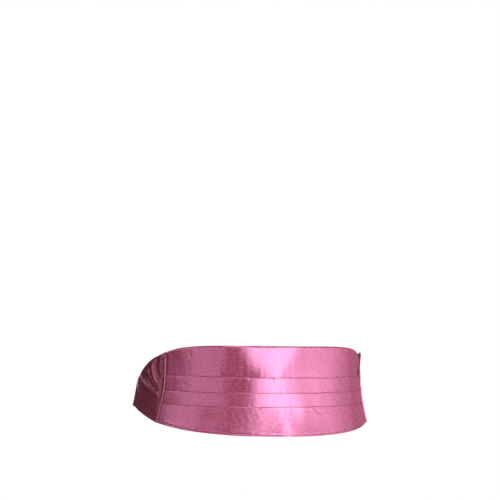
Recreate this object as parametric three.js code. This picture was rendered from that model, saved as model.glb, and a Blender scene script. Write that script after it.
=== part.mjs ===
// A dress cummerbund of satin, fastened as it is worn round a waist. It has a pleated front,
// a rolled seam at each end of it, two tapered side panels, and a strap from each side panel
// that loops through one plain clasp at the back.
// Millimetres, +Z up. The front faces -Y, and the wearer's right side is at -X.
// The origin is the middle of the waist, level with the middle of the strap.

import * as THREE from "three";

// The waist that the band goes round, measured at the inner face of the cloth.
const WAIST_WIDTH = 311; // side to side, above the pleats
const WAIST_DEPTH = 239; // front to back, at the same level
const FLARE_HEIGHT = 62.7; // above the strap's middle, where the waist begins to widen
const HIP_FLARE = 15.8; // how much further out it stands at the front's lower edge

// The pleated front. Its heights are what shows of each band at the centre.
const FRONT_LENGTH = 322;
const TOP_BAND = 43.1;
const UPPER_PLEAT = 20.7;
const LOWER_PLEAT = 18.4;
const BOTTOM_BAND = 39.1;
const LOWER_EDGE_DROP = 43.5; // from the strap's middle down to the front's lower edge
const TOP_FALL = 11.1; // how far the top edge falls by the end seams
const TOP_FALL_POWER = 4.8; // high: the edge is level for longer and then falls faster
const BOTTOM_RISE = 13.1;
const BOTTOM_RISE_POWER = 2.7;
const PLEAT_UNDERLAP = 7; // how far each pleat tucks down behind the one below
const HEM_DEPTH = 9; // cloth turned in along both long edges
const FRONT_CLOTH = 1;
const FOLD_GAP = 0.4; // air between the layers of a fold

// The rolled seam at each end of the front.
const SEAM_WIDTH = 3;
const SEAM_PROUD = 1.4; // further out than the front's folds
const SEAM_OVERSHOOT = 1.5; // how far its top end stands above the cloth

// The side panels, which taper from the end seams to the strap.
const SIDE_LENGTH = 83;
const SIDE_CLOTH = 1.5;
const SIDE_OVERHANG = 1; // wider than the strap, above and below it
const SIDE_LIFT = 0.4; // off the waist, beside the seam

// The strap and its clasp.
const STRAP_WIDTH = 19;
const STRAP_CLOTH = 1.2;
const STRAP_LIFT = 0.2; // off the waist
const STRAP_TUCK = 14; // sewn behind the side panel
const STRAP_TAIL = 24; // folded back inside, past the clasp
const STRAP_RAMP = 8; // length over which it climbs a layer
const CLASP_THICKNESS = 2;
const CLASP_MIDDLE = 18; // between the slots
const CLASP_SLOT = 4;
const CLASP_SLOT_CLEARANCE = 0.8; // above and below the strap
const CLASP_BAR = 4; // between a slot and the clasp's end
const CLASP_RAIL = 3; // above and below the slots
const CLASP_CORNER = 2.5;

const CLEARANCE = 0.3; // between pieces that touch

// How finely the pieces are divided.
const FRONT_STATIONS = 32;
const SIDE_STATIONS = 20;
const SIDE_ROWS = 16;
const SEAM_LEVELS = 8;
const SEAM_SIDES = 10;
const STRAP_STEP = 11;
const STRAP_TURN_STEPS = 4;

// Edges of a side panel, from the end seam to the strap. The columns top and bottom are what
// is left, at that share of its length, of the height that each edge has to lose.
const SIDE_EDGES = [
  { along: 0, top: 1, bottom: 1 },
  { along: 0.15, top: 0.93, bottom: 0.79 },
  { along: 0.27, top: 0.87, bottom: 0.62 },
  { along: 0.41, top: 0.73, bottom: 0.43 },
  { along: 0.6, top: 0.54, bottom: 0.22 },
  { along: 0.69, top: 0.42, bottom: 0.13 },
  { along: 0.77, top: 0.29, bottom: 0.07 },
  { along: 0.87, top: 0.14, bottom: 0.02 },
  { along: 1, top: 0, bottom: 0 },
];

// Drag folds of a side panel. They fan out from the middle of the end seam to the top edge.
// Places along are shares of the panel's length, and places up are shares of its height at
// the seam. A fold with a bow of 1 leaves its low end upright and then leans over. Height and
// width are shares of the panel's height at the strap.
const SIDE_FOLDS = [
  { topAlong: 0.16, topUp: 0.95, lowAlong: 0.12, lowUp: 0.66, bow: 0, height: 0.06, width: 0.17 },
  { topAlong: 0.43, topUp: 0.85, lowAlong: 0.14, lowUp: 0.48, bow: 1, height: 0.12, width: 0.19 },
  { topAlong: 0.66, topUp: 0.68, lowAlong: 0.24, lowUp: 0.45, bow: 0, height: 0.13, width: 0.21 },
  { topAlong: 0.79, topUp: 0.6, lowAlong: 0.6, lowUp: 0.38, bow: 0, height: 0.08, width: 0.16 },
];

const SATIN = 0xcf5f9a;
const STRAP_SATIN = 0xb0507f;
const CLASP_BLACK = 0x1b1a1c;

// Heights, from the strap's middle.
const LOWER_EDGE = -LOWER_EDGE_DROP;
const LOW_FOLD = LOWER_EDGE + BOTTOM_BAND;
const MIDDLE_FOLD = LOW_FOLD + LOWER_PLEAT;
const HIGH_FOLD = MIDDLE_FOLD + UPPER_PLEAT;
const TOP_EDGE = HIGH_FOLD + TOP_BAND;
const SEAM_TOP = TOP_EDGE - TOP_FALL;
const SEAM_BOTTOM = LOWER_EDGE + BOTTOM_RISE;

// Places along the waist, from the centre front.
const SEAM_AT = FRONT_LENGTH / 2;
const FRONT_END = SEAM_AT - SEAM_WIDTH / 2 - CLEARANCE;
const SIDE_START = SEAM_AT + SEAM_WIDTH / 2 + CLEARANCE;
const SIDE_END = SIDE_START + SIDE_LENGTH;

// What follows from the sizes above.
const LAYER_PITCH = FRONT_CLOTH + FOLD_GAP;
const SEAM_DEPTH = 2 * LAYER_PITCH + FRONT_CLOTH + SEAM_PROUD;
const SIDE_END_HEIGHT = STRAP_WIDTH + 2 * SIDE_OVERHANG;
const STRAP_OUTER_FACE = STRAP_LIFT + STRAP_CLOTH;
const SLOT_START = CLASP_MIDDLE / 2; // from the clasp's middle
const SLOT_END = SLOT_START + CLASP_SLOT;
const CLASP_END = SLOT_END + CLASP_BAR;
const SLOT_HALF_HEIGHT = STRAP_WIDTH / 2 + CLASP_SLOT_CLEARANCE;
const CLASP_HALF_HEIGHT = SLOT_HALF_HEIGHT + CLASP_RAIL;

// Half of the waist's ellipse, as the length walked at each of many equal steps of its angle.
const ARC_STEPS = 720;
const arcLengths = [0];
for (let i = 1; i <= ARC_STEPS; i++) {
  const angle = ((i - 0.5) * Math.PI) / ARC_STEPS;
  const speed = Math.hypot(
    (WAIST_WIDTH / 2) * Math.cos(angle),
    (WAIST_DEPTH / 2) * Math.sin(angle),
  );
  arcLengths.push(arcLengths[i - 1] + (speed * Math.PI) / ARC_STEPS);
}
const HALF_WAIST = arcLengths[ARC_STEPS];

// The ellipse's angle at a length along the waist from the centre front.
function angleAt(along) {
  const length = Math.min(Math.abs(along), HALF_WAIST);
  let i = 1;
  while (i < ARC_STEPS && arcLengths[i] < length) i++;
  const part = (length - arcLengths[i - 1]) / (arcLengths[i] - arcLengths[i - 1]);
  return (Math.sign(along) * (i - 1 + part) * Math.PI) / ARC_STEPS;
}

// How much further out the waist stands at a height.
function flareAt(height) {
  const share = Math.max(0, FLARE_HEIGHT - height) / (FLARE_HEIGHT - LOWER_EDGE);
  return HIP_FLARE * share * share;
}

// The point at a length along the waist, a height, and a distance out from the waist.
function onWaist(along, height, out) {
  const angle = angleAt(along);
  const halfWidth = WAIST_WIDTH / 2 + flareAt(height);
  const halfDepth = WAIST_DEPTH / 2 + flareAt(height);
  const normal = new THREE.Vector2(Math.sin(angle) / halfWidth, -Math.cos(angle) / halfDepth);
  normal.normalize();
  return new THREE.Vector3(
    halfWidth * Math.sin(angle) + out * normal.x,
    -halfDepth * Math.cos(angle) + out * normal.y,
    height,
  );
}

// A closed solid from rings of points. Every ring has as many points, and its first half
// runs back along its second half, so that an end is closed by a row of quads.
function solidFromRings(rings) {
  const count = rings[0].length;
  const positions = rings.flat().flatMap((point) => point.toArray());
  const faces = [];
  const quad = (a, b, c, d) => faces.push(a, b, c, a, c, d);
  for (let r = 0; r + 1 < rings.length; r++) {
    for (let i = 0; i < count; i++) {
      const next = (i + 1) % count;
      quad(
        r * count + i,
        r * count + next,
        (r + 1) * count + next,
        (r + 1) * count + i,
      );
    }
  }
  const last = (rings.length - 1) * count;
  for (let i = 0; i < count / 2 - 1; i++) {
    quad(count - 1 - i, count - 2 - i, i + 1, i);
    quad(last + i, last + i + 1, last + count - 2 - i, last + count - 1 - i);
  }
  return solid(positions, faces);
}

// A geometry from points and triangles, which are all turned over if they face inward.
function solid(positions, faces) {
  const corner = (i) => new THREE.Vector3().fromArray(positions, 3 * i);
  let volume = 0;
  for (let f = 0; f < faces.length; f += 3) {
    const [a, b, c] = [corner(faces[f]), corner(faces[f + 1]), corner(faces[f + 2])];
    volume += a.dot(b.cross(c));
  }
  const geometry = new THREE.BufferGeometry();
  geometry.setAttribute("position", new THREE.Float32BufferAttribute(positions, 3));
  geometry.setIndex(volume < 0 ? faces.toReversed() : faces);
  geometry.computeVertexNormals();
  return geometry;
}

// The two sides of a cloth that follows a path of points {u, v, side}. The side is the
// direction, in degrees from +u, in which its first face lies.
function twoFaces(path, thickness) {
  const face = (sign) =>
    path.map(({ u, v, side }) => ({
      u: u + (sign * thickness * Math.cos(THREE.MathUtils.degToRad(side))) / 2,
      v: v + (sign * thickness * Math.sin(THREE.MathUtils.degToRad(side))) / 2,
    }));
  return [...face(1), ...face(-1).reverse()];
}

// What a table's column is at a place between its rows, on a smooth curve through them.
function smoothColumn(rows, column, along) {
  let i = 0;
  while (i < rows.length - 2 && rows[i + 1].along < along) i++;
  const row = (k) => rows[THREE.MathUtils.clamp(k, 0, rows.length - 1)];
  const slope = (k) =>
    (row(k + 1)[column] - row(k - 1)[column]) / (row(k + 1).along - row(k - 1).along);
  const span = rows[i + 1].along - rows[i].along;
  const t = (along - rows[i].along) / span;
  const bend = t * t * (3 - 2 * t);
  return (
    THREE.MathUtils.lerp(rows[i][column], rows[i + 1][column], bend) +
    span * (slope(i) * t * (1 - t) ** 2 - slope(i + 1) * t * t * (1 - t))
  );
}

// The front's top and bottom edges at a length along it.
function frontTop(along) {
  return TOP_EDGE - TOP_FALL * Math.min(1, Math.abs(along) / SEAM_AT) ** TOP_FALL_POWER;
}

function frontBottom(along) {
  return LOWER_EDGE + BOTTOM_RISE * Math.min(1, Math.abs(along) / SEAM_AT) ** BOTTOM_RISE_POWER;
}

// The cloth of the front from its lower hem to its upper one, as points out (u) and up (v).
// It lies in three layers: what shows comes down from a fold in the outer one, goes in to
// the inner one, tucks down behind the next fold, and comes up to it in the middle one.
function frontPath(along) {
  const [inner, middle, outer] = [0, 1, 2].map((layer) => FRONT_CLOTH / 2 + layer * LAYER_PITCH);
  const radius = LAYER_PITCH / 2;
  const bottom = frontBottom(along) + FRONT_CLOTH / 2;
  const top = frontTop(along) - FRONT_CLOTH / 2;
  const path = [
    { u: inner, v: bottom + HEM_DEPTH, side: 180 },
    { u: inner, v: bottom + radius, side: 180 },
    { u: inner + radius, v: bottom, side: 270 },
    { u: middle, v: bottom + radius, side: 360 },
    { u: middle, v: bottom + HEM_DEPTH + LAYER_PITCH, side: 360 },
  ];
  for (const foldHeight of [LOW_FOLD, MIDDLE_FOLD, HIGH_FOLD]) {
    const crest = foldHeight - FRONT_CLOTH / 2;
    const tuck = foldHeight - PLEAT_UNDERLAP;
    path.push(
      { u: outer, v: tuck - LAYER_PITCH, side: 360 },
      { u: outer, v: crest - radius, side: 360 },
      { u: outer - radius, v: crest, side: 450 },
      { u: middle, v: crest - radius, side: 540 },
      { u: middle, v: tuck + radius, side: 540 },
      { u: middle - radius, v: tuck, side: 450 },
      { u: inner, v: tuck + radius, side: 360 },
      { u: inner, v: foldHeight + FOLD_GAP, side: 360 },
    );
  }
  path.push(
    { u: middle, v: top - HEM_DEPTH - LAYER_PITCH, side: 360 },
    { u: middle, v: top - radius, side: 360 },
    { u: middle - radius, v: top, side: 450 },
    { u: inner, v: top - radius, side: 540 },
    { u: inner, v: top - HEM_DEPTH, side: 540 },
  );
  return path;
}

function frontGeometry() {
  const rings = [];
  for (let i = 0; i <= FRONT_STATIONS; i++) {
    const along = THREE.MathUtils.lerp(-FRONT_END, FRONT_END, i / FRONT_STATIONS);
    const faces = twoFaces(frontPath(along), FRONT_CLOTH);
    rings.push(faces.map(({ u, v }) => onWaist(along, v, u)));
  }
  return solidFromRings(rings);
}

// A rolled seam: an oval roll that stands on edge between the front and a side panel.
function seamGeometry(wearerSide) {
  const rings = [];
  const height = SEAM_TOP + SEAM_OVERSHOOT - SEAM_BOTTOM;
  for (let level = 0; level <= SEAM_LEVELS; level++) {
    const up = SEAM_BOTTOM + (height * level) / SEAM_LEVELS;
    const ring = [];
    for (let i = 0; i < SEAM_SIDES; i++) {
      const turn = (2 * Math.PI * (i + 0.5)) / SEAM_SIDES;
      const along = SEAM_AT + (SEAM_WIDTH / 2) * Math.cos(turn);
      ring.push(onWaist(wearerSide * along, up, (SEAM_DEPTH / 2) * (1 + Math.sin(turn))));
    }
    rings.push(ring);
  }
  return solidFromRings(rings);
}

// How far the drag folds lift a side panel at a place on it.
function foldLift(share, height) {
  const up = (height - SEAM_BOTTOM) / (SEAM_TOP - SEAM_BOTTOM);
  let lift = 0;
  for (const fold of SIDE_FOLDS) {
    const t = (up - fold.lowUp) / (fold.topUp - fold.lowUp);
    const lean = THREE.MathUtils.lerp(t, t * Math.abs(t), fold.bow);
    const line = THREE.MathUtils.lerp(fold.lowAlong, fold.topAlong, lean);
    const across = ((share - line) * SIDE_LENGTH) / (fold.width * SIDE_END_HEIGHT);
    const ends = THREE.MathUtils.smoothstep(t, -0.5, 0.35);
    lift += fold.height * SIDE_END_HEIGHT * ends * Math.exp(-across * across);
  }
  return lift;
}

function sideGeometry(wearerSide) {
  const rings = [];
  const halfEnd = SIDE_END_HEIGHT / 2;
  const endLift = STRAP_OUTER_FACE + CLEARANCE;
  for (let i = 0; i <= SIDE_STATIONS; i++) {
    const share = i / SIDE_STATIONS;
    const along = SIDE_START + share * SIDE_LENGTH;
    const top = halfEnd + smoothColumn(SIDE_EDGES, "top", share) * (SEAM_TOP - halfEnd);
    const bottom = -halfEnd + smoothColumn(SIDE_EDGES, "bottom", share) * (SEAM_BOTTOM + halfEnd);
    const tucked = (along - (SIDE_END - 2 * STRAP_TUCK)) / STRAP_TUCK;
    const base = THREE.MathUtils.lerp(SIDE_LIFT, endLift, THREE.MathUtils.smoothstep(tucked, 0, 1));
    const path = [];
    for (let row = 0; row <= SIDE_ROWS; row++) {
      const height = THREE.MathUtils.lerp(bottom, top, row / SIDE_ROWS);
      path.push({ u: base + SIDE_CLOTH / 2 + foldLift(share, height), v: height, side: 0 });
    }
    rings.push(twoFaces(path, SIDE_CLOTH).map(({ u, v }) => onWaist(wearerSide * along, v, u)));
  }
  return solidFromRings(rings);
}

// The strap from behind the side panel to the clasp, round its outer bar and back inside,
// as points at a distance from the centre back (u) and out from the waist (v).
function strapPath() {
  const low = STRAP_LIFT + STRAP_CLOTH / 2;
  const overTail = low + STRAP_CLOTH + CLEARANCE;
  const turnRadius = (CLASP_THICKNESS + STRAP_CLOTH) / 2 + CLEARANCE;
  const start = HALF_WAIST - SIDE_END + STRAP_TUCK;
  const tailEnd = CLASP_END + STRAP_TAIL;
  const plain = start - tailEnd - STRAP_RAMP;
  const steps = Math.ceil(plain / STRAP_STEP);
  const path = [];
  for (let i = 0; i <= steps; i++) {
    path.push({ u: start - (plain * i) / steps, v: low, side: 90 });
  }
  path.push(
    { u: tailEnd, v: overTail, side: 90 },
    { u: CLASP_END + STRAP_RAMP, v: overTail, side: 90 },
    { u: CLASP_END + 2 * CLEARANCE, v: low + 2 * turnRadius, side: 90 },
  );
  for (let i = 0; i <= STRAP_TURN_STEPS; i++) {
    const side = 90 + (180 * i) / STRAP_TURN_STEPS;
    const turn = THREE.MathUtils.degToRad(side);
    path.push({
      u: SLOT_END + turnRadius * Math.cos(turn),
      v: low + turnRadius * (1 + Math.sin(turn)),
      side,
    });
  }
  path.push(
    { u: CLASP_END + STRAP_RAMP, v: low, side: 270 },
    { u: tailEnd - CLEARANCE, v: low, side: 270 },
  );
  return path;
}

function strapGeometry(wearerSide) {
  const faces = twoFaces(strapPath(), STRAP_CLOTH);
  const heights = [-STRAP_WIDTH / 2, 0, STRAP_WIDTH / 2];
  return solidFromRings(
    heights.map((height) =>
      faces.map(({ u, v }) => onWaist(wearerSide * (HALF_WAIST - u), height, v)),
    ),
  );
}

// The clasp: a plate with a slot near each end, curved to the back of the waist. It is a grid
// of cells from which the slots are left out.
function claspGeometry() {
  const corner = (turn) => ({
    u: CLASP_END - CLASP_CORNER * (1 - Math.sin(turn)),
    half: CLASP_HALF_HEIGHT - CLASP_CORNER * (1 - Math.cos(turn)),
  });
  const rightHalf = [
    { u: SLOT_START, half: CLASP_HALF_HEIGHT },
    { u: SLOT_END, half: CLASP_HALF_HEIGHT },
    corner(0),
    corner(Math.PI / 4),
    corner(Math.PI / 2),
  ];
  const leftHalf = rightHalf.map(({ u, half }) => ({ u: -u, half })).reverse();
  const columns = [...leftHalf, { u: 0, half: CLASP_HALF_HEIGHT }, ...rightHalf];
  const slots = [3, 6];
  const innerFace = STRAP_OUTER_FACE + CLEARANCE;
  const positions = [];
  for (const { u, half } of columns) {
    for (const height of [-half, -SLOT_HALF_HEIGHT, SLOT_HALF_HEIGHT, half]) {
      for (const out of [innerFace, innerFace + CLASP_THICKNESS]) {
        const along = (u < 0 ? -1 : 1) * (HALF_WAIST - Math.abs(u));
        positions.push(...onWaist(along, height, out).toArray());
      }
    }
  }
  const point = (column, row, face) => (4 * column + row) * 2 + face;
  const kept = (column, row) =>
    column >= 0 &&
    column < columns.length - 1 &&
    row >= 0 &&
    row < 3 &&
    !(row === 1 && slots.includes(column));
  const faces = [];
  const quad = (a, b, c, d) => faces.push(a, b, c, a, c, d);
  for (let column = 0; column < columns.length - 1; column++) {
    for (let row = 0; row < 3; row++) {
      if (!kept(column, row)) continue;
      const low = [column, row];
      const lowNext = [column + 1, row];
      const highNext = [column + 1, row + 1];
      const high = [column, row + 1];
      const cell = [low, lowNext, highNext, high];
      quad(...cell.map(([c, r]) => point(c, r, 1)));
      quad(...cell.map(([c, r]) => point(c, r, 0)).reverse());
      const wall = ([c, r], [nextC, nextR]) =>
        quad(point(c, r, 0), point(nextC, nextR, 0), point(nextC, nextR, 1), point(c, r, 1));
      if (!kept(column, row - 1)) wall(low, lowNext);
      if (!kept(column + 1, row)) wall(lowNext, highNext);
      if (!kept(column, row + 1)) wall(highNext, high);
      if (!kept(column - 1, row)) wall(high, low);
    }
  }
  return solid(positions, faces);
}

const satin = new THREE.MeshStandardMaterial({ color: SATIN, roughness: 0.35, metalness: 0 });
const strapSatin = new THREE.MeshStandardMaterial({ color: STRAP_SATIN, roughness: 0.6, metalness: 0 });
const claspPaint = new THREE.MeshStandardMaterial({ color: CLASP_BLACK, roughness: 0.3, metalness: 0.4 });

function piece(name, geometry, material) {
  const mesh = new THREE.Mesh(geometry, material);
  mesh.name = name;
  return mesh;
}

const cummerbund = new THREE.Group();
cummerbund.add(piece("front_pleats", frontGeometry(), satin));
for (const [side, wearerSide] of [["right", -1], ["left", 1]]) {
  cummerbund.add(
    piece(`end_seam_${side}`, seamGeometry(wearerSide), satin),
    piece(`side_panel_${side}`, sideGeometry(wearerSide), satin),
    piece(`back_strap_${side}`, strapGeometry(wearerSide), strapSatin),
  );
}
cummerbund.add(piece("back_clasp", claspGeometry(), claspPaint));

export default cummerbund;
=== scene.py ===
# A dress cummerbund of pink satin, fastened as it is worn round a waist. Places are in metres:
# +Z is up, the pleated front faces -Y, and the wearer's right side is at -X. The sizes of the
# cloth are given in millimetres, and each piece's mesh function turns them into metres.

import math

import bpy
from mathutils import Euler, Matrix, Vector, noise


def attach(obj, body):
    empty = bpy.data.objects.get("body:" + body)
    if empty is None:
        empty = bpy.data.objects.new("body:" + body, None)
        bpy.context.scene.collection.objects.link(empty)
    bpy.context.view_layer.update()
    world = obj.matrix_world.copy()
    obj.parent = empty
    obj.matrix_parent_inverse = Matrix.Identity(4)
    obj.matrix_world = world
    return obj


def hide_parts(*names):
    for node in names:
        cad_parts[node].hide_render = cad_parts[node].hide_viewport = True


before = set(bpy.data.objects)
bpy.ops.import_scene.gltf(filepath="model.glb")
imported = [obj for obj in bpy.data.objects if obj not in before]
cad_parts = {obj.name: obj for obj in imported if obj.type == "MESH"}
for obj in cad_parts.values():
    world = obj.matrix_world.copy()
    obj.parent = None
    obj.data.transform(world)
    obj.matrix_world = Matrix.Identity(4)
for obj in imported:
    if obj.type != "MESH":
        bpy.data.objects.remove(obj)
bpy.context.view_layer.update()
bpy.ops.object.select_all(action="DESELECT")
bpy.context.scene.view_settings.view_transform = "Standard"


# The camera stands a little to the wearer's right of the front, level, 3.5 m away. It is
# higher than the band, so that the band lies low in the picture.
CAMERA_AZIMUTH = math.radians(-19.45)
CAMERA_ROLL = math.radians(1.28)
CAMERA_DISTANCE = 3.492
CAMERA_HEIGHT = 0.2072
CAMERA_SIDEWAYS = -0.0035
CAMERA_SENSOR = 36
CAMERA_LENS = 179.7
to_camera = Vector((math.sin(CAMERA_AZIMUTH), -math.cos(CAMERA_AZIMUTH), 0))
camera_right = Vector((math.cos(CAMERA_AZIMUTH), math.sin(CAMERA_AZIMUTH), 0))
camera_place = to_camera * CAMERA_DISTANCE + camera_right * CAMERA_SIDEWAYS
bpy.ops.object.camera_add(location=camera_place + Vector((0, 0, CAMERA_HEIGHT)))
camera = bpy.context.object
level = Euler((math.pi / 2, 0, CAMERA_AZIMUTH)).to_matrix()
camera.rotation_euler = (level @ Matrix.Rotation(CAMERA_ROLL, 3, "Z")).to_euler()
camera.data.sensor_width = CAMERA_SENSOR
camera.data.lens = CAMERA_LENS
bpy.context.scene.camera = camera


# The pleated front: one length of satin with a firm interlining. Three folds that open upward
# are pressed into it, and its two long edges are turned in. It curves round the waist and
# leans outward over the hips.
WAIST_WIDTH = 311
WAIST_DEPTH = 239
FLARE_HEIGHT = 62.7
HIP_FLARE = 15.8
SEAM_AT = 161
SEAM_BOW = 2.8
TOP_EDGE = 77.8
TOP_FALL_POWER = 4.8
BOTTOM_RISE_POWER = 2.7
NOTCH_DEPTH = 9.5
NOTCH_WIDTH = 4.8
HIGH_FOLD, MIDDLE_FOLD, LOW_FOLD = 34.7, 14.0, -4.4
LOWER_EDGE = -43.5
SEAM_TOP = 66.7
SEAM_BOTTOM = -30.4
FRONT_LAYERS = (1.3, 2.0, 2.7)
FOLD_RADIUS = 0.35
FOLD_ROLL = 0.8
HEM_ROLL = 0.9
TOP_HEM_ROLL = 0.4
TOP_HEM_LEAN = 0.9
STITCH_GROOVE = 0.45
STITCH_LOW, STITCH_HIGH = 2.3, 3.1
FRONT_CLOTH = 0.45
PLEAT_UNDERLAP = 7
HEM_DEPTH = 9
FRONT_COLUMNS = 278
BAND_STEPS = 18
ARC_STEPS = 720
SMOOTH_ANGLE = math.radians(50)

# Half of the waist's ellipse, as the length walked at each of many equal steps of its angle.
arc_lengths = [0.0]
for step in range(ARC_STEPS):
    angle = (step + 0.5) * math.pi / ARC_STEPS
    speed = math.hypot(WAIST_WIDTH / 2 * math.cos(angle), WAIST_DEPTH / 2 * math.sin(angle))
    arc_lengths.append(arc_lengths[-1] + speed * math.pi / ARC_STEPS)
HALF_WAIST = arc_lengths[-1]


def ease(low, high, value):
    """From 0 at low to 1 at high, with a smooth start and end."""
    share = min(1.0, max(0.0, (value - low) / (high - low)))
    return share * share * (3 - 2 * share)


def on_waist(along, height, out):
    """The place at a length along the waist, a height, and a distance out from it, in mm."""
    # The end seams bow a little toward the front, and take the cloth near them along.
    bow = SEAM_BOW * ease(-26, 16, height) * (1 - 0.5 * ease(25, 66, height))
    bow *= math.exp(-(((abs(along) - SEAM_AT) / 16) ** 2))
    length = min(abs(along) - bow, HALF_WAIST)
    low, high = 0, ARC_STEPS
    while high - low > 1:
        middle = (low + high) // 2
        if arc_lengths[middle] <= length:
            low = middle
        else:
            high = middle
    part = (length - arc_lengths[low]) / (arc_lengths[high] - arc_lengths[low])
    angle = math.copysign((low + part) * math.pi / ARC_STEPS, along)
    flare = HIP_FLARE * (max(0, FLARE_HEIGHT - height) / (FLARE_HEIGHT - LOWER_EDGE)) ** 2
    half_width = WAIST_WIDTH / 2 + flare
    half_depth = WAIST_DEPTH / 2 + flare
    across = math.sin(angle) / half_width
    deep = -math.cos(angle) / half_depth
    size = math.hypot(across, deep)
    return Vector(
        (
            (half_width * math.sin(angle) + out * across / size) / 1000,
            (-half_depth * math.cos(angle) + out * deep / size) / 1000,
            height / 1000,
        )
    )


def ripple(along, height, length, tall, seed):
    """A smooth irregular wave, from about -1 to 1."""
    return noise.noise(Vector((along / length + 11 * seed, height / tall - 7 * seed, seed)))


# How far the cloth stands out from its even curve at each place along the front, for each of the
# four bands (0 is the lowest) and height. Each band is its own layer and lies a little its own way.
RELIEF_AT = [-161, -145, -130, -115, -100, -85, -72, -60, -50, -40, -30, -20]
RELIEF_AT += [-10, 0, 10, 20, 32, 45, 60, 80, 100, 120, 140, 161]
FRONT_RELIEF = [
    (3, 76, [-0.9, -0.7, -0.3, 0.4, 1.0, 1.5, 1.8, 1.0, 0.2, -0.6, -1.4, -1.6]),
    (3, 57, [-1.2, -0.9, 0.0, 0.7, 0.9, 0.9, 0.9, 0.8, 0.4, 0.0, -0.4, -0.5]),
    (3, 38, [-0.8, -0.8, -0.2, 0.4, 0.4, -0.2, -0.55, -0.85, -1.1, -0.85, -0.45, 0.0]),
    (2, 24, [-0.3, -0.4, -0.1, 0.2, 0.3, 0.2, 0.1, 0.2, 0.3, 0.3, 0.3, 0.3]),
    (1, 5, [-0.1, -0.2, 0.0, 0.0, 0.2, 0.0, 0.0, 0.1, 0.0, -0.1, -0.2, -0.3]),
    (0, -8, [0.0, 0.0, 0.1, 0.1, 0.2, 0.1, 0.0, 0.0, 0.0, 0.0, 0.0, 0.0]),
    (0, -24, [0.2, 0.1, 0.1, 0.5, 0.7, 0.1, -0.4, -0.4, -0.3, -0.2, -0.1, 0.0]),
    (0, -40, [0.0, 0.2, 0.5, 0.8, 0.2, -0.8, -0.7, -0.4, -0.3, -0.3, -0.3, -0.2]),
]
LEFT_HALF_RELIEF = [
    [-1.3, -1.2, -0.8, 0.1, 0.5, 0.6, 0.4, -0.2, 0.3, 0.6, 0.3, -0.2],
    [-0.5, -0.4, -0.4, -0.4, -0.3, -0.2, -0.3, -0.4, 0.2, 0.5, 0.2, -0.2],
    [0.4, 0.1, -0.75, -1.3, -1.3, -1.0, -0.65, -0.3, 0.1, 0.4, 0.1, -0.2],
    [0.3, 0.1, -0.2, -0.4, -0.5, -0.5, 0.0, 0.1, 0.0, 0.1, 0.0, 0.0],
    [-0.5, -0.6, -0.5, -0.4, 0.1, 0.6, 0.9, 0.6, 0.1, -0.2, 0.0, 0.0],
    [-0.1, -0.3, -0.6, -0.5, 0.5, 0.9, 1.0, 0.6, 0.2, 0.0, 0.0, 0.0],
    [0.3, 0.5, 0.5, 0.3, 0.5, 0.5, 0.5, 0.2, -0.1, -0.2, 0.0, 0.0],
    [0.5, 1.3, 1.5, 1.3, 1.0, 0.6, 0.4, 0.1, 0.0, 0.1, 0.0, 0.0],
]
for row, left_half in zip(FRONT_RELIEF, LEFT_HALF_RELIEF):
    row[2].extend(left_half)


def smooth_line(places, values, at):
    """The value at a place, on a smooth curve through the values at the given places."""
    i = 0
    while i < len(places) - 2 and places[i + 1] < at:
        i += 1

    def slope(k):
        before, after = max(0, k - 1), min(len(places) - 1, k + 1)
        return (values[after] - values[before]) / (places[after] - places[before])

    span = places[i + 1] - places[i]
    t = (at - places[i]) / span
    straight = values[i] + (values[i + 1] - values[i]) * t * t * (3 - 2 * t)
    return straight + span * (slope(i) * t * (1 - t) ** 2 - slope(i + 1) * t * t * (1 - t))


relief_columns = {}


def band_relief(along, height, band):
    """How far one band stands out at a place, from the table."""
    if along not in relief_columns:
        relief_columns[along] = [smooth_line(RELIEF_AT, row[2], along) for row in FRONT_RELIEF]
    pairs = zip(FRONT_RELIEF, relief_columns[along])
    rows = [(row[1], out) for row, out in pairs if row[0] == band]
    heights, outs = zip(*reversed(rows))
    if len(heights) == 1:
        return outs[0]
    return smooth_line(heights, outs, min(heights[-1], max(heights[0], height)))


# Small creases: where each starts and ends, as along and height, its width, and how far it
# stands out.
CREASES = [
    (44, -6, 50, -15, 1.9, 0.45),
    (52, -9, 60, -13, 2.2, -0.4),
    (-46, 32.9, -43, 32.5, 1.3, 0.5),
    (-10, 33.8, -9.7, 30, 1.3, -0.5),
    (-124, 66, -121, 60, 1.8, -0.4),
    (-130, 24, -124, 20, 2.0, -0.3),
    (93, 33, 96, 27, 2.0, 0.25),
    (120, 12, 124, 3, 2.2, 0.25),
]
SEAM_LEAN = 2.5
UNEVENNESS = 0.08
SLACK_CREASING = 0.13
GATHERING = 0.16


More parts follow.
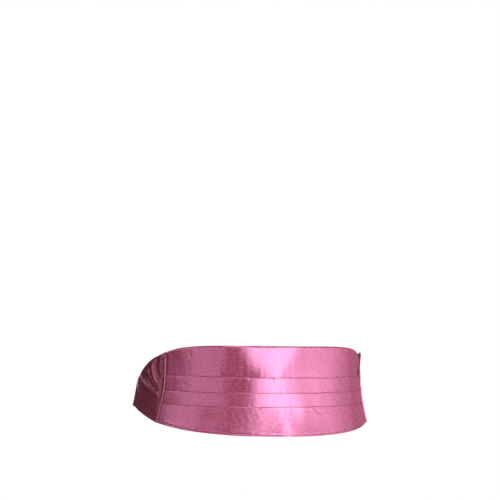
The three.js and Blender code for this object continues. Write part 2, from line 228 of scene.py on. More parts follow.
def front_swell(along, height, band):
    """How far the front stands out from its even curve: relief, slack, gathers and creases."""
    low = min(2, int(band))
    lower, upper = band_relief(along, height, low), band_relief(along, height, low + 1)
    swell = lower * (low + 1 - band) + upper * (band - low)
    swell += UNEVENNESS * noise.noise(Vector((along / 30, height / 24, 3 + 0.9 * band)))
    creased = ease(4, -10, height) * ease(-90, -70, along) * ease(25, 5, along)
    slanted = Vector(((along + 0.5 * height) / 5, (height - 0.5 * along) / 7, 5))
    swell += SLACK_CREASING * creased * noise.noise(slanted)
    gathered = ease(-125, -145, along) * ease(-12, 8, height) + 0.9 * ease(110, 140, along)
    gathered *= ease(SEAM_AT, SEAM_AT - 6, abs(along))
    swell += GATHERING * gathered * noise.noise(Vector((along / 9, height / 9, 9)))
    for start_along, start_height, end_along, end_height, width, out in CREASES:
        run_along, run_up = end_along - start_along, end_height - start_height
        t = (along - start_along) * run_along + (height - start_height) * run_up
        t = min(1.0, max(0.0, t / (run_along**2 + run_up**2)))
        gap = math.hypot(along - start_along - t * run_along, height - start_height - t * run_up)
        if gap < 3 * width and (height < HIGH_FOLD) == (start_height < HIGH_FOLD):
            swell += out * math.exp(-((gap / width) ** 2)) * (1 - 0.6 * t)
    return swell + SEAM_LEAN * ease(35, 66, height) * ease(SEAM_AT - 9, SEAM_AT, along)


# How far each fold's mouth stands open along the front, from 0, pressed shut, to 1.
OPENING_AT = [-161, -140, -115, -90, -60, -30, 0, 20, 40, 46, 60, 90, 120, 161]
FOLD_OPENINGS = [
    [0.8, 0.8, 0.7, 0.5, 0.5, 0.7, 0.3, 0.1, 0.1, 1.0, 0.9, 0.7, 0.7, 0.9],
    [1.0, 0.9, 0.6, 0.6, 0.7, 1.0, 0.5, 0.6, 0.7, 0.7, 0.7, 0.8, 0.8, 1.0],
    [1.0, 1.0, 0.7, 0.6, 0.8, 1.0, 0.5, 0.4, 0.5, 0.6, 0.6, 0.9, 0.9, 1.0],
]

# For each fold, the places along the front where it steps up or down a little, and how far.
FOLD_STEPS = [
    [(46, 0.7), (70, -0.5), (-95, 0.3)],
    [(66, 0.5), (97, -0.5), (-70, 0.4)],
    [(58, -0.4), (92, 0.8), (118, -0.5), (-128, 0.4), (-52, -0.3)],
]
STEP_HALF_LENGTH = 1.2


def pleat_section(along):
    """The front's cloth at one place, from its lower hem up, as (out, height, band)."""
    share = min(1.0, abs(along) / SEAM_AT)
    top = TOP_EDGE - (TOP_EDGE - SEAM_TOP) * share**TOP_FALL_POWER - FRONT_CLOTH / 2
    # At the wearer's left end the top edge is drawn down into the seam.
    top -= NOTCH_DEPTH * math.exp(-(((SEAM_AT - along) / NOTCH_WIDTH) ** 2))
    bottom = LOWER_EDGE + (SEAM_BOTTOM - LOWER_EDGE) * share**BOTTOM_RISE_POWER + FRONT_CLOTH / 2
    inner, middle, outer = FRONT_LAYERS
    section = []

    def run(start, end, steps, band, change=0):
        for i in range(steps):
            t = i / steps
            out = start[0] + (end[0] - start[0]) * t
            section.append((out, start[1] + (end[1] - start[1]) * t, band + change * t))

    def turn(out, height, first, last, steps, band, wide=FOLD_RADIUS, tall=FOLD_RADIUS):
        for i in range(steps):
            angle = math.radians(first + (last - first) * i / steps)
            section.append((out + wide * math.cos(angle), height + tall * math.sin(angle), band))

    run((inner, bottom + HEM_DEPTH), (inner, bottom + HEM_ROLL), 4, 0)
    turn(inner + FOLD_RADIUS, bottom + HEM_ROLL, 180, 360, 7, 0, tall=HEM_ROLL)
    groove = (middle - STITCH_GROOVE, bottom + STITCH_LOW)
    groove_top = (middle - 0.05, bottom + STITCH_HIGH)
    run((middle, bottom + HEM_ROLL), groove, 2, 0)
    run(groove, groove_top, 2, 0)
    run(groove_top, (middle, bottom + HEM_DEPTH), 4, 0)
    low_end = (middle, bottom + HEM_DEPTH)
    for band, fold in enumerate((LOW_FOLD, MIDDLE_FOLD, HIGH_FOLD)):
        crest = fold - 0.1 + 0.3 * ripple(along, 0, 34, 1, 10 + band)
        for at, up in FOLD_STEPS[band]:
            crest += up * ease(at - STEP_HALF_LENGTH, at + STEP_HALF_LENGTH, along)
        loose = 0.05 + 0.1 * ripple(along, 0, 26, 1, 20 + band)
        opening = smooth_line(OPENING_AT, FOLD_OPENINGS[band], along)
        opening += 0.2 * ripple(along, 0, 6, 1, 50 + band)
        shut = 1 - min(1.0, max(0.0, opening))
        tuck = fold - PLEAT_UNDERLAP
        high_end = (outer + loose, crest - FOLD_ROLL)
        for i in range(BAND_STEPS):
            t = i / BAND_STEPS
            out = low_end[0] + (high_end[0] - low_end[0]) * (1.7 * t - 0.7 * t * t)
            section.append((out, low_end[1] + (high_end[1] - low_end[1]) * t, band))
        turn(outer + loose - FOLD_RADIUS, crest - FOLD_ROLL, 0, 90, 5, band, tall=FOLD_ROLL)
        turn(outer + loose - FOLD_RADIUS, crest - FOLD_RADIUS, 90, 180, 3, band)
        run((middle + loose, crest - FOLD_RADIUS), (middle, tuck + FOLD_RADIUS), 3, band)
        turn(middle - FOLD_RADIUS, tuck + FOLD_RADIUS, 0, -180, 4, band)
        run((inner, tuck + FOLD_RADIUS), (inner, crest - 1.2), 3, band, 1)
        low_end = (inner + 0.15 + shut * (outer - inner - 0.5), crest + 0.2)
        run((inner, crest - 1.2), low_end, 5, band + 1)
    run(low_end, (middle, top - HEM_DEPTH), 15, 3)
    bend, slope = (middle, top - 1.7), (middle - 0.15, top - 1.3)
    edge = (middle - TOP_HEM_LEAN, top - TOP_HEM_ROLL)
    hem_end = (inner - 0.6, top - HEM_DEPTH)
    run((middle, top - HEM_DEPTH), bend, 4, 3)
    run(bend, slope, 2, 3)
    run(slope, edge, 3, 3)
    turn(edge[0] - FOLD_RADIUS, edge[1], 0, 180, 6, 3, tall=TOP_HEM_ROLL)
    run((edge[0] - 2 * FOLD_RADIUS, edge[1]), hem_end, 3, 3)
    section.append((*hem_end, 3))
    return section


def face_outward():
    """Turns the faces of the object in hand so that all their fronts look outward."""
    bpy.ops.object.mode_set(mode="EDIT")
    bpy.ops.mesh.select_all(action="SELECT")
    bpy.ops.mesh.normals_make_consistent(inside=False)
    bpy.ops.object.mode_set(mode="OBJECT")


def lay_cloth(name, columns, sections, thickness, swell):
    """A sheet from a flat grid: each column of it follows the section at its place along."""
    bpy.ops.object.select_all(action="DESELECT")
    rows = len(sections[0][1]) - 1
    bpy.ops.mesh.primitive_grid_add(x_subdivisions=columns, y_subdivisions=rows, size=1)
    cloth = bpy.context.object
    cloth.name = cloth.data.name = name
    places = {}
    walked = {}
    for i, (along, section) in enumerate(sections):
        length = 0.0
        for j, (out, height, *band) in enumerate(section):
            if j:
                length += math.hypot(out - section[j - 1][0], height - section[j - 1][1])
            places[i, j] = on_waist(along, height, out + swell(along, height, *band))
            walked[i, j] = (along / 1000, length / 1000)
    steps = []
    for vertex in cloth.data.vertices:
        step = (round((vertex.co.x + 0.5) * columns), round((vertex.co.y + 0.5) * rows))
        steps.append(step)
        vertex.co = places[step]
    flat = cloth.data.uv_layers[0]
    flat.name = "cloth"
    for loop in cloth.data.loops:
        flat.data[loop.index].uv = walked[steps[loop.vertex_index]]
    wall = cloth.modifiers.new("wall", "SOLIDIFY")
    wall.thickness = thickness / 1000
    wall.offset = 0
    bpy.ops.object.modifier_apply(modifier=wall.name)
    bpy.ops.object.shade_smooth_by_angle(angle=SMOOTH_ANGLE)
    face_outward()
    return cloth


front_sections = []
for column in range(FRONT_COLUMNS + 1):
    along = (SEAM_AT - 0.4) * (2 * column / FRONT_COLUMNS - 1)
    front_sections.append((along, pleat_section(along)))
front = lay_cloth("pleated_front", FRONT_COLUMNS, front_sections, FRONT_CLOTH, front_swell)

# Satin seen close: floats of thread run along the cloth, and each is a little lighter or darker
# than the next. The group puts out their height and their tone.
weave = bpy.data.node_groups.new("satin_weave", "ShaderNodeTree")
weave.interface.new_socket("Place", in_out="INPUT", socket_type="NodeSocketVector")
weave.interface.new_socket("Height", in_out="OUTPUT", socket_type="NodeSocketFloat")
weave.interface.new_socket("Tone", in_out="OUTPUT", socket_type="NodeSocketFloat")
weave_in = weave.nodes.new("NodeGroupInput")
weave_out = weave.nodes.new("NodeGroupOutput")


def woven(scale, detail):
    """Noise drawn out along the cloth; the scale is in turns per metre along it and up it."""
    mapping = weave.nodes.new("ShaderNodeMapping")
    mapping.inputs["Scale"].default_value = (*scale, 1)
    texture = weave.nodes.new("ShaderNodeTexNoise")
    texture.inputs["Scale"].default_value = 1
    texture.inputs["Detail"].default_value = detail
    weave.links.new(weave_in.outputs["Place"], mapping.inputs["Vector"])
    weave.links.new(mapping.outputs["Vector"], texture.inputs["Vector"])
    return texture.outputs["Fac"]


# The heights add up in hundredths of a millimetre: the floats of thread, grain, and puckers.
height = woven((500, 3600), 1)
for scale, tall in (((700, 900), 11), ((330, 420), 3)):
    added = weave.nodes.new("ShaderNodeMath")
    added.operation = "MULTIPLY_ADD"
    added.inputs[1].default_value = tall
    weave.links.new(woven(scale, 1), added.inputs[0])
    weave.links.new(height, added.inputs[2])
    height = added.outputs["Value"]
weave.links.new(height, weave_out.inputs["Height"])
tone = weave.nodes.new("ShaderNodeMapRange")
tone.inputs["From Min"].default_value = 0.34
tone.inputs["From Max"].default_value = 0.66
weave.links.new(woven((230, 460), 3), tone.inputs["Value"])
weave.links.new(tone.outputs["Result"], weave_out.inputs["Tone"])


def satin(name, dark, light, gloss, roughness, index=2.0):
    """A satin finish whose gloss is drawn out up and down the cloth."""
    material = bpy.data.materials.new(name)
    material.use_nodes = True
    nodes, links = material.node_tree.nodes, material.node_tree.links
    shader = nodes["Principled BSDF"]
    place = nodes.new("ShaderNodeUVMap")
    place.uv_map = "cloth"
    cloth_weave = nodes.new("ShaderNodeGroup")
    cloth_weave.node_tree = weave
    links.new(place.outputs["UV"], cloth_weave.inputs["Place"])
    tone = nodes.new("ShaderNodeMix")
    tone.data_type = "RGBA"
    tone.inputs["A"].default_value = (*dark, 1)
    tone.inputs["B"].default_value = (*light, 1)
    links.new(cloth_weave.outputs["Tone"], tone.inputs["Factor"])
    links.new(tone.outputs["Result"], shader.inputs["Base Color"])
    bump = nodes.new("ShaderNodeBump")
    bump.inputs["Strength"].default_value = 1
    bump.inputs["Distance"].default_value = 0.00001
    links.new(cloth_weave.outputs["Height"], bump.inputs["Height"])
    links.new(bump.outputs["Normal"], shader.inputs["Normal"])
    tangent = nodes.new("ShaderNodeTangent")
    tangent.direction_type = "UV_MAP"
    tangent.uv_map = "cloth"
    links.new(tangent.outputs["Tangent"], shader.inputs["Tangent"])
    shader.inputs["Roughness"].default_value = roughness
    shader.inputs["Anisotropic"].default_value = 0.8
    shader.inputs["Anisotropic Rotation"].default_value = 0.25
    shader.inputs["IOR"].default_value = index
    shader.inputs["Specular IOR Level"].default_value = 1.0
    shader.inputs["Specular Tint"].default_value = (*gloss, 1)
    return material


front_satin = satin("front_satin", (0.22, 0.027, 0.06), (0.375, 0.066, 0.13), (1, 0.42, 0.73), 0.22)
front.data.materials.append(front_satin)
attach(front, "root")
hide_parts("front_pleats")


# The end seams: the raw end of the pleats and the edge of the side panel are rolled together
# into a cord of satin and sewn down. It stands a little proud of the pleats and the panel.
SEAM_WIDTH = 3
SEAM_DEPTH = 4.6
SEAM_OVERSHOOT = {1: 1.5, -1: -1}  # past the cloth's top, for the wearer's left and right
SEAM_SIDES = 24
SEAM_RINGS = 120
END_ROUNDING = 60
LEFT_TIP_SHARPNESS = 14


def rolled_seam(name, side):
    """One end seam; the side is 1 for the wearer's left and -1 for their right."""
    top = SEAM_TOP + SEAM_OVERSHOOT[side]
    bpy.ops.object.select_all(action="DESELECT")
    bpy.ops.mesh.primitive_uv_sphere_add(segments=SEAM_SIDES, ring_count=SEAM_RINGS, radius=1)
    seam = bpy.context.object
    seam.name = seam.data.name = name
    crest = seam.data.attributes.new("crest", "FLOAT", "POINT")
    for vertex in seam.data.vertices:
        up = 1 - math.acos(max(-1, min(1, vertex.co.z))) / math.pi
        round_end = math.sqrt(max(0, 1 - abs(2 * up - 1) ** END_ROUNDING))
        turn = math.atan2(vertex.co.y, vertex.co.x) if abs(vertex.co.z) < 0.99999 else 0
        height = SEAM_BOTTOM + (top - SEAM_BOTTOM) * up
        pucker = 0.05 * math.sin(2 * turn + height / 2.1)
        pucker += 0.05 * noise.noise(Vector((turn, height / 3, side)))
        size = round_end * (1 + min(0.0, pucker) * (1 if side < 0 else 0.3))
        along = SEAM_AT + SEAM_WIDTH / 2 * size * math.cos(turn)
        if side > 0:  # the left seam narrows to a tip at its top
            size *= ease(-0.5, 0.6, (1 - up) * LEFT_TIP_SHARPNESS)
        depth = SEAM_DEPTH * (1 - 0.22 * ease(30, 60, height)) if side > 0 else SEAM_DEPTH
        out = depth / 2 * (1 + size * math.sin(turn))
        out += SEAM_LEAN * ease(35, 66, height) if side > 0 else 0
        # The crest attribute paints light into the cord's colour. The side of the cord that faces out
        # and toward its side panel gets a painted highlight, and the rest gets painted shade. The right
        # seam's highlight fades out at its top; the left seam gets a little of it and is painted
        # lighter lower down.
        highlight_edge = 0.78 + 0.08 * ease(20, 4, height)
        highlight_edge += 0.1 * noise.noise(Vector((0, height / 6, 2)))
        painted_highlight = ease(highlight_edge, highlight_edge + 0.15, math.sin(turn) + 0.35 * math.cos(turn))
        if side < 0:
            crest.data[vertex.index].value = max(painted_highlight * ease(64, 56, height), 0.03)
        else:
            crest.data[vertex.index].value = 0.06 + 0.3 * ease(45, 15, height) + 0.2 * painted_highlight
        vertex.co = on_waist(side * along, height, out)
    seam.data.uv_layers[0].name = "cloth"
    for point in seam.data.uv_layers[0].data:
        point.uv = (point.uv.x * 0.013, point.uv.y * 0.1)
    face_outward()
    bpy.ops.object.shade_smooth()
    seam.data.materials.append(seam_satin)
    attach(seam, "root")
    return seam


# The cord is shiny along its crest only, and its flanks are matted. Its colour is painted light and
# shade, mixed by the crest attribute: a light pink base on the crest as a painted highlight, and
# near-black on the flanks as painted shade.
seam_satin = satin("seam_satin", (0.75, 0.19, 0.33), (0.95, 0.3, 0.48), (1, 0.47, 0.7), 0.25, 1.6)
nodes, links = seam_satin.node_tree.nodes, seam_satin.node_tree.links
shader = nodes["Principled BSDF"]
crest = nodes.new("ShaderNodeAttribute")
crest.attribute_name = "crest"
# Painted shade: where the crest attribute is low, the cord's colour is mixed toward near-black.
painted_shade_flank = nodes.new("ShaderNodeMix")
painted_shade_flank.data_type = "RGBA"
painted_shade_flank.inputs["A"].default_value = (0.09, 0.01, 0.02, 1)
links.new(crest.outputs["Fac"], painted_shade_flank.inputs["Factor"])
links.new(shader.inputs["Base Color"].links[0].from_socket, painted_shade_flank.inputs["B"])
links.new(painted_shade_flank.outputs["Result"], shader.inputs["Base Color"])
matted = nodes.new("ShaderNodeMapRange")
matted.inputs["To Min"].default_value = 0.8
matted.inputs["To Max"].default_value = 0.25
links.new(crest.outputs["Fac"], matted.inputs["Value"])
links.new(matted.outputs["Result"], shader.inputs["Roughness"])
seam_right = rolled_seam("rolled_seam_right", -1)
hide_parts("end_seam_right")
seam_left = rolled_seam("rolled_seam_left", 1)
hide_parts("end_seam_left")


# The side panels: plain satin, cut to taper from the end seam to the strap, with narrow hems.
# The strap pulls on them, and drag folds fan out from the middle of the seam.
SIDE_GAP = 0.3
SIDE_START = SEAM_AT + SEAM_WIDTH / 2 + SIDE_GAP
SIDE_LENGTH = 83
SIDE_END_HEIGHT = 21
SIDE_CLOTH = 0.6
SIDE_HEM = 7
HEM_TURN_RADIUS = 0.45
SIDE_TUCK = 1.4
SIDE_COLUMNS = 110
SIDE_ROWS = 70
HEM_STEPS = 5
TURN_STEPS = 6
SIDE_AT = [0, 0.15, 0.27, 0.41, 0.6, 0.69, 0.77, 0.87, 1]
SIDE_TOP = [0.99, 0.89, 0.815, 0.7, 0.52, 0.41, 0.29, 0.14, 0]
SIDE_BOTTOM = [1, 0.79, 0.62, 0.43, 0.22, 0.13, 0.07, 0.02, 0]

# Each drag fold: how far it stands out (a hollow has a minus), its width, and its crest as
# lengths from the seam and heights. The left panel is pulled less, and its folds are lower.
LEFT_SIDE_PULL = 0.45
DRAG_FOLDS = [
    (0.8, 1.8, [(6.5, 60), (8.3, 52), (10.4, 43), (12.3, 37)]),
    (1.6, 1.5, [(25, 58.5), (24.5, 50), (22.2, 39.8), (18.6, 31), (13.4, 24), (9, 18.8)]),
    (1.5, 1.6, [(33.5, 52.5), (34, 43.6), (30.3, 34.8), (23, 26.5), (16.2, 19.8)]),
    (1.1, 1.5, [(43, 46), (42, 38), (36.5, 29), (28, 21.5), (21, 16)]),
    (2.0, 2.6, [(57, 34), (46, 24), (36, 19.8), (26, 16), (19.5, 13), (9, 11.5)]),
    (1.6, 3.4, [(66, 30), (61.6, 24.1), (56.4, 15.4), (53.2, 11.5), (46, 6)]),
    (-0.9, 2.6, [(2.4, 60), (3, 40), (2.6, 22), (2, 4)]),
    (-1.4, 3.0, [(16.3, 61), (15.8, 51.5), (13.8, 40.7), (9.9, 32.7), (5, 25)]),
    (-1.3, 3.6, [(43.6, 44.7), (42.1, 36.5), (35, 28.6), (24.9, 22.4), (13.4, 17.6)]),
]


def drag_lift(along, height):
    """How far the drag folds lift the panel."""
    from_seam = abs(along) - SIDE_START
    lift = 0.0
    for out, width, crest in DRAG_FOLDS:
        nearest, reach = 1e9, 0.0
        for (a, b), (c, d) in zip(crest, crest[1:]):
            t = ((from_seam - a) * (c - a) + (height - b) * (d - b)) / ((c - a) ** 2 + (d - b) ** 2)
            t = min(1.0, max(0.0, t))
            gap = math.hypot(from_seam - a - t * (c - a), height - b - t * (d - b))
            if gap < nearest:
                nearest = gap
                reach = (crest.index((a, b)) + t) / (len(crest) - 1)
        lift += out * math.exp(-((nearest / width) ** 2)) * (1 - 0.75 * ease(0.55, 1, reach))
    lift += 0.4 * ripple(from_seam, height, 22, 18, 31)
    lift *= 1 if along < 0 else LEFT_SIDE_PULL
    half_end = SIDE_END_HEIGHT / 2
    top_share = smooth_line(SIDE_AT, SIDE_TOP, from_seam / SIDE_LENGTH)
    edge = half_end + top_share * (SEAM_TOP - half_end)
    lift *= 0.12 + 0.88 * ease(0, 14, edge - height)
    return max(-0.9, lift) * ease(0, 5, from_seam) * ease(0, 22, SIDE_LENGTH - from_seam)


def side_panel(name, side):
    """One side panel; the side is 1 for the wearer's left and -1 for their right."""
    half_end = SIDE_END_HEIGHT / 2
    radius = HEM_TURN_RADIUS
    sections = []
    for column in range(SIDE_COLUMNS + 1):
        share = column / SIDE_COLUMNS
        from_seam = share * SIDE_LENGTH
        top_share = smooth_line(SIDE_AT, SIDE_TOP, share)
        bottom_share = smooth_line(SIDE_AT, SIDE_BOTTOM, share)
        top = half_end + top_share * (SEAM_TOP - half_end) - SIDE_CLOTH / 2
        bottom = -half_end + bottom_share * (SEAM_BOTTOM + half_end) + SIDE_CLOTH / 2
        base = 0.4 + 1.3 * ease(SIDE_LENGTH - 28, SIDE_LENGTH - 14, from_seam)
        hem = min(SIDE_HEM, (top - bottom) / 2 - 1)
        inner, outer = base + 0.35, base + 0.35 + 2 * radius
        low, high = bottom + radius, top - radius
        section = [(inner, low + hem * (1 - i / HEM_STEPS)) for i in range(HEM_STEPS)]
        for i in range(TURN_STEPS + 1):
            angle = math.radians(180 + 180 * i / TURN_STEPS)
            section.append((inner + radius + radius * math.cos(angle), low + radius * math.sin(angle)))
        section += [(outer, low + (high - low) * i / SIDE_ROWS) for i in range(1, SIDE_ROWS)]
        for i in range(TURN_STEPS + 1):
            angle = math.radians(180 * i / TURN_STEPS)
            section.append((inner + radius + radius * math.cos(angle), high + radius * math.sin(angle)))
        section += [(inner, high - hem * i / HEM_STEPS) for i in range(1, HEM_STEPS + 1)]
        at = SIDE_START + from_seam - (SIDE_TUCK if column == 0 else 0)
        sections.append((side * at, section))
    panel = lay_cloth(name, SIDE_COLUMNS, sections, SIDE_CLOTH, drag_lift)
    panel.data.materials.append(side_satin)
    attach(panel, "root")
    return panel


# The side panels are the same satin as the front. This copy has a darker base colour, painted shade for
# the side of the band that turns away from the light.
side_satin = satin("side_satin", (0.12, 0.017, 0.031), (0.18, 0.028, 0.05), (1, 0.31, 0.45), 0.24)
panel_right = side_panel("satin_side_right", -1)
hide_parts("side_panel_right")
panel_left = side_panel("satin_side_left", 1)
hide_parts("side_panel_left")


# The straps: a narrow tube of satin, pressed flat. Each is sewn behind the end of its side
# panel, goes through the clasp's slot and round its outer bar, and is folded back inside.
STRAP_WIDTH = 19
STRAP_CLOTH = 1.2
STRAP_LIFT = 0.2
STRAP_TUCK = 14
STRAP_TAIL = 24
STRAP_RAMP = 8
STRAP_ROWS = 10
PLAIN_STEPS, RAMP_STEPS, RISE_STEPS, TAIL_STEPS = 90, 12, 10, 24
CLASP_THICKNESS = 2
SLOT_START, SLOT_END, CLASP_END = 9, 13, 17
CLEARANCE = 0.3


def strap_line():
    """The middle of the strap's cloth, as lengths from the centre back and distances out."""
    low = STRAP_LIFT + STRAP_CLOTH / 2
    over_tail = low + STRAP_CLOTH + CLEARANCE
    radius = (CLASP_THICKNESS + STRAP_CLOTH) / 2 + CLEARANCE
    start = HALF_WAIST - SIDE_START - SIDE_LENGTH + STRAP_TUCK
    tail_end = CLASP_END + STRAP_TAIL
    line = []
    plain = start - tail_end - STRAP_RAMP
    for i in range(PLAIN_STEPS):
        line.append((start - plain * i / PLAIN_STEPS, low))
    for i in range(RAMP_STEPS):
        lifted = low + (over_tail - low) * ease(0, RAMP_STEPS, i)
        line.append((tail_end + STRAP_RAMP * (1 - i / RAMP_STEPS), lifted))
    for i in range(RAMP_STEPS):
        line.append((tail_end + (CLASP_END + STRAP_RAMP - tail_end) * i / RAMP_STEPS, over_tail))
    rise_end = low + 2 * radius
    rise_length = STRAP_RAMP - 2 * CLEARANCE
    for i in range(RISE_STEPS):
        lifted = over_tail + (rise_end - over_tail) * ease(0, RISE_STEPS, i)
        line.append((CLASP_END + STRAP_RAMP - rise_length * i / RISE_STEPS, lifted))
    line.append((CLASP_END + 2 * CLEARANCE, rise_end))
    for i in range(RAMP_STEPS + 1):
        angle = math.radians(90 + 180 * i / RAMP_STEPS)
        line.append((SLOT_END + radius * math.cos(angle), low + radius * (1 + math.sin(angle))))
    for i in range(1, TAIL_STEPS + 1):
        line.append((SLOT_END + (tail_end - CLEARANCE - SLOT_END) * i / TAIL_STEPS, low))
    return line


def strap(name, side):
    """One strap; the side is 1 for the wearer's left and -1 for their right."""
    bpy.ops.object.select_all(action="DESELECT")
    line = strap_line()
    around = len(line) - 1
    bpy.ops.mesh.primitive_grid_add(x_subdivisions=around, y_subdivisions=STRAP_ROWS, size=1)
    band = bpy.context.object
    band.name = band.data.name = name
    walked = [0.0]
    for (a, b), (c, d) in zip(line, line[1:]):
        walked.append(walked[-1] + math.hypot(c - a, d - b))
    flat = band.data.uv_layers[0]
    flat.name = "cloth"
    steps = []
    for vertex in band.data.vertices:
        i = round((vertex.co.x + 0.5) * around)
        height = vertex.co.y * (STRAP_WIDTH - 0.4)
        steps.append((walked[i] / 1000, height / 1000))
        ripple_out = 0.12 * ripple(walked[i], height, 15, 12, 40 + side) * ease(0, 20, walked[i])
        ripple_out *= ease(150, 120, walked[i])
        vertex.co = on_waist(side * (HALF_WAIST - line[i][0]), height, line[i][1] + ripple_out)
    for loop in band.data.loops:
        flat.data[loop.index].uv = steps[loop.vertex_index]
    wall = band.modifiers.new("wall", "SOLIDIFY")
    wall.thickness = (STRAP_CLOTH - 0.1) / 1000
    wall.offset = 0
    bpy.ops.object.modifier_apply(modifier=wall.name)
    edge = band.modifiers.new("pressed edge", "BEVEL")
    edge.width = 0.0004
    edge.segments = 3
    edge.limit_method = "ANGLE"
    edge.angle_limit = math.radians(60)
    bpy.ops.object.modifier_apply(modifier=edge.name)
    face_outward()
    bpy.ops.object.shade_smooth_by_angle(angle=SMOOTH_ANGLE)
    band.data.materials.append(strap_satin)
    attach(band, "root")
    return band


strap_satin = satin("strap_satin", (0.34, 0.056, 0.115), (0.42, 0.07, 0.145), (1, 0.5, 0.8), 0.4)
strap_right = strap("satin_strap_right", -1)
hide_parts("back_strap_right")
strap_left = strap("satin_strap_left", 1)
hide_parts("back_strap_left")


# The clasp: one moulded plate of black plastic with a slot near each end, curved to the back.
# The straps pass through its slots and round its outer bars, and they alone hold it.
CLASP_HALF_HEIGHT = 13.3
SLOT_HALF_HEIGHT = 10.3
CORNER_RADIUS = 2.5

columns_at = [-17, -16.2, -15, -14, -13, -12, -11, -10, -9, -7.5, -6, -4.5, -3, -2, -1, -0.5, -0.2, 0]
columns_at += [-x for x in reversed(columns_at[:-1])]
rows_at = [-13.3, -12.6, -11.8, -11, -10.3, -9, -7.8, -6.5, -5.2, -4, -2.8, -1.8, -0.8, 0]
rows_at += [-y for y in reversed(rows_at[:-1])]
steps_along, steps_up = len(columns_at) - 1, len(rows_at) - 1
bpy.ops.object.select_all(action="DESELECT")
bpy.ops.mesh.primitive_grid_add(x_subdivisions=steps_along, y_subdivisions=steps_up, size=1)
clasp = bpy.context.object
clasp.name = clasp.data.name = "moulded_clasp"
for vertex in clasp.data.vertices:
    column = round((vertex.co.x + 0.5) * steps_along)
    row = round((vertex.co.y + 0.5) * steps_up)
    vertex.co = (columns_at[column], rows_at[row], 0)
bpy.ops.object.mode_set(mode="EDIT")
bpy.ops.mesh.select_mode(type="FACE")
bpy.ops.mesh.select_all(action="DESELECT")
bpy.ops.object.mode_set(mode="OBJECT")
for face in clasp.data.polygons:
    x, y = abs(face.center.x), abs(face.center.y)
    face.select = SLOT_START < x < SLOT_END and y < SLOT_HALF_HEIGHT
bpy.ops.object.mode_set(mode="EDIT")
bpy.ops.mesh.delete(type="FACE")
bpy.ops.object.mode_set(mode="OBJECT")
corner_x, corner_y = CLASP_END - CORNER_RADIUS, CLASP_HALF_HEIGHT - CORNER_RADIUS
for vertex in clasp.data.vertices:
    x, y = abs(vertex.co.x) - corner_x, abs(vertex.co.y) - corner_y
    if x > 0 and y > 0:
        most = max(x, y) / math.hypot(x, y)
        vertex.co.x = math.copysign(corner_x + x * most, vertex.co.x)
        vertex.co.y = math.copysign(corner_y + y * most, vertex.co.y)
wall = clasp.modifiers.new("plate", "SOLIDIFY")
wall.thickness = CLASP_THICKNESS
wall.offset = 0
bpy.ops.object.modifier_apply(modifier=wall.name)
rim = clasp.modifiers.new("rounded rims", "BEVEL")
rim.width = 0.5
rim.segments = 3
rim.limit_method = "ANGLE"
rim.angle_limit = math.radians(60)
bpy.ops.object.modifier_apply(modifier=rim.name)
clasp_out = STRAP_LIFT + STRAP_CLOTH + CLEARANCE + CLASP_THICKNESS / 2
for vertex in clasp.data.vertices:
    x, y, z = vertex.co
    vertex.co = on_waist(math.copysign(HALF_WAIST - abs(x), x), y, clasp_out + z)
face_outward()
bpy.ops.object.shade_smooth_by_angle(angle=math.radians(40))
moulded = bpy.data.materials.new("moulded_black")
moulded.use_nodes = True
shader = moulded.node_tree.nodes["Principled BSDF"]
shader.inputs["Base Color"].default_value = (0.018, 0.018, 0.02, 1)
shader.inputs["Roughness"].default_value = 0.32
place = moulded.node_tree.nodes.new("ShaderNodeTexCoord")
grain = moulded.node_tree.nodes.new("ShaderNodeTexNoise")
grain.inputs["Scale"].default_value = 900
grain.inputs["Detail"].default_value = 3
bump = moulded.node_tree.nodes.new("ShaderNodeBump")
bump.inputs["Strength"].default_value = 0.2
bump.inputs["Distance"].default_value = 0.0001
moulded.node_tree.links.new(place.outputs["Object"], grain.inputs["Vector"])
moulded.node_tree.links.new(grain.outputs["Fac"], bump.inputs["Height"])
moulded.node_tree.links.new(bump.outputs["Normal"], shader.inputs["Normal"])
clasp.data.materials.append(moulded)
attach(clasp, "root")
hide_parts("back_clasp")


# The floor: a pale matt disc, a metre below the band, about as far as when it is worn. It
# ends inside the ring of lights, so that it stays evenly lit.
FLOOR_RADIUS = 2.5
FLOOR_DROP = 1
bpy.ops.object.select_all(action="DESELECT")
bpy.ops.mesh.primitive_circle_add(
    vertices=128, radius=FLOOR_RADIUS, fill_type="NGON", location=(0, 0, -FLOOR_DROP)
)
floor = bpy.context.object
floor.name = floor.data.name = "floor"
pale = bpy.data.materials.new("pale_floor")
pale.use_nodes = True
shader = pale.node_tree.nodes["Principled BSDF"]
shader.inputs["Base Color"].default_value = (0.85, 0.85, 0.85, 1)
shader.inputs["Roughness"].default_value = 0.7
floor.data.materials.append(pale)


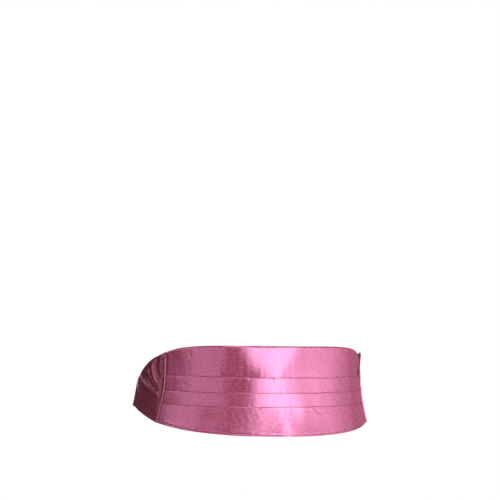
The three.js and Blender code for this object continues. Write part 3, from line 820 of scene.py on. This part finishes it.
# The lights: a ring of soft panels round the band. Each row has the directions of its two
# edges (0 is straight in front, and it grows toward the wearer's left), those of its lower
# and upper edge, in degrees, and its brightness.
LIGHTS = [
    ("back_rim_panel", -199, -174, -11, 10, 2.4),
    ("left_back_panel", -165, -108, 22, 45, 0.6),
    ("left_edge_strip", -103, -96, -11, 9, 2.3),
    ("left_high_panel", -90, -78, 11, 45, 1.55),
    ("left_panel", -78, -66, 2, 40, 1.28),
    ("left_front_panel", -66, -50, -11, 35, 1.08),
    ("left_front_low_panel", -50, -40, -11, 18, 1.12),
    ("dim_front_panel", -40, -25, -11, 17, 1.03),
    ("dim_high_panel", -19, -6, 16, 45, 1.1),
    ("dim_high_panel_left", -6, 2.5, 15.5, 45, 2.3),
    ("key_edge_panel", -1.5, 2.5, -11, 15.5, 2.2),
    ("key_panel_low", 2.5, 9, -11, 15, 5.8),
    ("key_panel_low_fade", 2.5, 9, 15, 45, 1.9),
    ("key_panel_right", 9, 16, -11, 18, 5.9),
    ("key_panel_right_fade", 9, 16, 18, 45, 0.7),
    ("key_panel", 16, 24, -11, 20, 5.9),
    ("key_panel_fade", 16, 24, 20, 45, 1.5),
    ("key_panel_left", 24, 29.4, -11, 17, 5.5),
    ("key_panel_left_high", 24, 29.4, 17, 45, 8.0),
    ("front_panel_right", 29.4, 40, -11, 19, 2.75),
    ("front_panel_right_high", 29.4, 40, 19, 45, 2.5),
    ("front_panel_left", 40, 54, -11, 13, 3.0),
    ("front_panel_left_high", 40, 54, 13, 45, 1.5),
    ("right_front_panel", 54, 68.5, -11, 10, 2.4),
    ("right_front_high_panel", 54, 68.5, 10, 35, 1.75),
    ("right_panel", 68.5, 80, -11, 31, 1.5),
    ("right_edge_panel", 80, 96, -11, 31, 0.85),
    ("right_side_panel", 96, 135, -11, 31, 0.3),
    ("right_back_panel", 135, 160, -11, 31, 0.3),
    ("ceiling_panel", -40, 20, 52, 88, 2.6),
    ("back_panel", 160, 200, 16, 45, 3),
    ("back_high_panel", 145, 215, 45, 75, 3),
]
PANEL_DISTANCE = 2.6
for name, first, last, low, high, brightness in LIGHTS:
    azimuth = math.radians((first + last) / 2)
    elevation = math.radians((low + high) / 2)
    level_part = math.cos(elevation)
    toward_x, toward_y = math.sin(azimuth) * level_part, -math.cos(azimuth) * level_part
    toward = Vector((toward_x, toward_y, math.sin(elevation)))
    bpy.ops.object.light_add(type="AREA", location=toward * PANEL_DISTANCE)
    lamp = bpy.context.object
    lamp.name = name
    lamp.rotation_euler = toward.to_track_quat("Z", "Y").to_euler()
    lamp.data.shape = "RECTANGLE"
    lamp.data.size = 2 * PANEL_DISTANCE * level_part * math.tan(math.radians((last - first) / 2))
    lamp.data.size_y = 2 * PANEL_DISTANCE * math.tan(math.radians((high - low) / 2))
    lamp.data.energy = math.pi * lamp.data.size * lamp.data.size_y * brightness
    lamp.visible_camera = False

# The studio: white all round where the camera sees it, and much dimmer as a light on the band.
DIM_GLOW = 0.06
studio = bpy.data.worlds.new("studio")
bpy.context.scene.world = studio
studio.use_nodes = True
air = studio.node_tree
glow = air.nodes["Background"]
glow.inputs["Color"].default_value = (DIM_GLOW, DIM_GLOW, DIM_GLOW, 1)
glow.inputs["Strength"].default_value = 1
white = air.nodes.new("ShaderNodeBackground")
white.inputs["Color"].default_value = (1, 1, 1, 1)
seen = air.nodes.new("ShaderNodeLightPath")
either = air.nodes.new("ShaderNodeMixShader")
air.links.new(seen.outputs["Is Camera Ray"], either.inputs["Fac"])
air.links.new(glow.outputs["Background"], either.inputs[1])
air.links.new(white.outputs["Background"], either.inputs[2])
air.links.new(either.outputs["Shader"], air.nodes["World Output"].inputs["Surface"])
